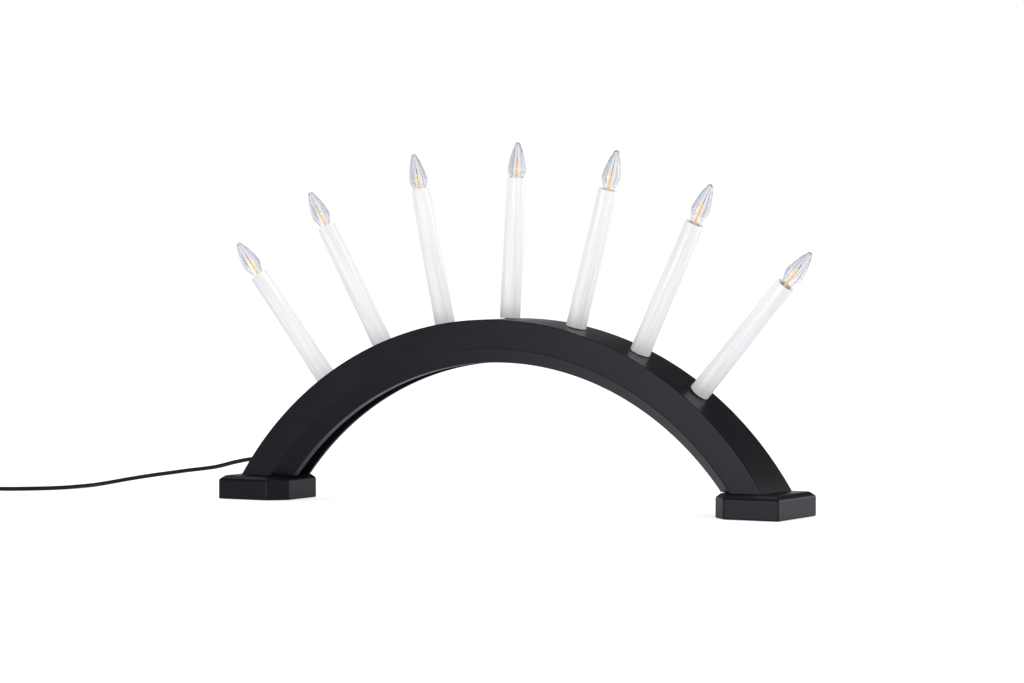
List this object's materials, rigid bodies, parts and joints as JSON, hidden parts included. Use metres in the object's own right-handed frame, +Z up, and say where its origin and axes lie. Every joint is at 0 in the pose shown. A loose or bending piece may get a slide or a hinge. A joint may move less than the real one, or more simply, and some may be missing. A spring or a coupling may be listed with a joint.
{
  "type": "electric candle arch",
  "caption": "Black lacquered wooden arch on block feet with a fan of white candle sleeves, each holding a small screw-in fluted bulb, lit from a thin mains cord",
  "frame": {"origin": "on the surface that it stands on, midway between the feet", "axes": "+X along the arch to the right as seen from the front, +Y to the back, +Z up"},
  "size_m": [0.8574, 0.1568, 0.2858],
  "materials": {
    "black_lacquer": "satin black lacquer on timber",
    "white_plastic": "smooth moulded white",
    "cream_plastic": "moulded, unpolished",
    "brass": "drawn and rolled",
    "clear_glass": "clear, blown in a fluted mould",
    "led_phosphor": "phosphor coating",
    "steel": "plated",
    "black_pvc": "extruded and moulded, satin"
  },
  "bodies": {
    "candle_arch": {"arch": "black_lacquer", "left_foot": "black_lacquer", "right_foot": "black_lacquer", "foot_screw_left_front": "steel", "foot_screw_left_rear": "steel", "foot_screw_right_front": "steel", "foot_screw_right_rear": "steel", "wiring_loom": "black_pvc", "cord_grip": "black_pvc", "cord": "black_pvc", "cord_coil": "black_pvc", "cord_tie": "black_pvc", "cord_tail": "black_pvc", "plug_body": "black_pvc", "plug_pin_left": "steel", "plug_pin_right": "steel", "candle_sleeve_1": "white_plastic", "lampholder_1": "cream_plastic", "candle_sleeve_2": "white_plastic", "lampholder_2": "cream_plastic", "candle_sleeve_3": "white_plastic", "lampholder_3": "cream_plastic", "candle_sleeve_4": "white_plastic", "lampholder_4": "cream_plastic", "candle_sleeve_5": "white_plastic", "lampholder_5": "cream_plastic", "candle_sleeve_6": "white_plastic", "lampholder_6": "cream_plastic", "candle_sleeve_7": "white_plastic", "lampholder_7": "cream_plastic"},
    "contact_1": {"centre_contact_1": "brass"},
    "bulb_1": {"bulb_cap_1": "brass", "bulb_glass_1": "clear_glass", "bulb_filament_1": "led_phosphor"},
    "contact_2": {"centre_contact_2": "brass"},
    "bulb_2": {"bulb_cap_2": "brass", "bulb_glass_2": "clear_glass", "bulb_filament_2": "led_phosphor"},
    "contact_3": {"centre_contact_3": "brass"},
    "bulb_3": {"bulb_cap_3": "brass", "bulb_glass_3": "clear_glass", "bulb_filament_3": "led_phosphor"},
    "contact_4": {"centre_contact_4": "brass"},
    "bulb_4": {"bulb_cap_4": "brass", "bulb_glass_4": "clear_glass", "bulb_filament_4": "led_phosphor"},
    "contact_5": {"centre_contact_5": "brass"},
    "bulb_5": {"bulb_cap_5": "brass", "bulb_glass_5": "clear_glass", "bulb_filament_5": "led_phosphor"},
    "contact_6": {"centre_contact_6": "brass"},
    "bulb_6": {"bulb_cap_6": "brass", "bulb_glass_6": "clear_glass", "bulb_filament_6": "led_phosphor"},
    "contact_7": {"centre_contact_7": "brass"},
    "bulb_7": {"bulb_cap_7": "brass", "bulb_glass_7": "clear_glass", "bulb_filament_7": "led_phosphor"}
  },
  "joints": [
    {"name": "contact_1_rise", "type": "slide", "parent": "candle_arch", "child": "contact_1", "axis": [-0.6166, 0, 0.7873], "range_m": [0, 0.00182]},
    {"name": "bulb_1_turn", "type": "hinge", "parent": "contact_1", "child": "bulb_1", "pos_m": [-0.165, 0.0025, 0.0927], "axis": [-0.6166, 0, 0.7873], "range_deg": [0, 360]},
    {"name": "contact_2_rise", "type": "slide", "parent": "candle_arch", "child": "contact_2", "axis": [-0.4921, 0, 0.8705], "range_m": [0, 0.00182]},
    {"name": "bulb_2_turn", "type": "hinge", "parent": "contact_2", "child": "bulb_2", "pos_m": [-0.11439, 0.0025, 0.12278], "axis": [-0.4921, 0, 0.8705], "range_deg": [0, 360]},
    {"name": "contact_3_rise", "type": "slide", "parent": "candle_arch", "child": "contact_3", "axis": [-0.2094, 0, 0.9778], "range_m": [0, 0.00182]},
    {"name": "bulb_3_turn", "type": "hinge", "parent": "contact_3", "child": "bulb_3", "pos_m": [-0.05854, 0.0025, 0.1414], "axis": [-0.2094, 0, 0.9778], "range_deg": [0, 360]},
    {"name": "contact_4_rise", "type": "slide", "parent": "candle_arch", "child": "contact_4", "axis": [0.0523, 0, 0.9986], "range_m": [0, 0.00182]},
    {"name": "bulb_4_turn", "type": "hinge", "parent": "contact_4", "child": "bulb_4", "pos_m": [0, 0.0025, 0.1477], "axis": [0.0523, 0, 0.9986], "range_deg": [0, 360]},
    {"name": "contact_5_rise", "type": "slide", "parent": "candle_arch", "child": "contact_5", "axis": [0.2536, 0, 0.9673], "range_m": [0, 0.00182]},
    {"name": "bulb_5_turn", "type": "hinge", "parent": "contact_5", "child": "bulb_5", "pos_m": [0.05854, 0.0025, 0.1414], "axis": [0.2536, 0, 0.9673], "range_deg": [0, 360]},
    {"name": "contact_6_rise", "type": "slide", "parent": "candle_arch", "child": "contact_6", "axis": [0.4255, 0, 0.905], "range_m": [0, 0.00182]},
    {"name": "bulb_6_turn", "type": "hinge", "parent": "contact_6", "child": "bulb_6", "pos_m": [0.11439, 0.0025, 0.12278], "axis": [0.4255, 0, 0.905], "range_deg": [0, 360]},
    {"name": "contact_7_rise", "type": "slide", "parent": "candle_arch", "child": "contact_7", "axis": [0.657, 0, 0.7539], "range_m": [0, 0.00182]},
    {"name": "bulb_7_turn", "type": "hinge", "parent": "contact_7", "child": "bulb_7", "pos_m": [0.165, 0.0025, 0.0927], "axis": [0.657, 0, 0.7539], "range_deg": [0, 360]}
  ],
  "couplings": [
    {"joint": "contact_1_rise", "follows": "bulb_1_turn", "m_per_rad": 0.00028876},
    {"joint": "contact_2_rise", "follows": "bulb_2_turn", "m_per_rad": 0.00028876},
    {"joint": "contact_3_rise", "follows": "bulb_3_turn", "m_per_rad": 0.00028876},
    {"joint": "contact_4_rise", "follows": "bulb_4_turn", "m_per_rad": 0.00028876},
    {"joint": "contact_5_rise", "follows": "bulb_5_turn", "m_per_rad": 0.00028876},
    {"joint": "contact_6_rise", "follows": "bulb_6_turn", "m_per_rad": 0.00028876},
    {"joint": "contact_7_rise", "follows": "bulb_7_turn", "m_per_rad": 0.00028876}
  ]
}
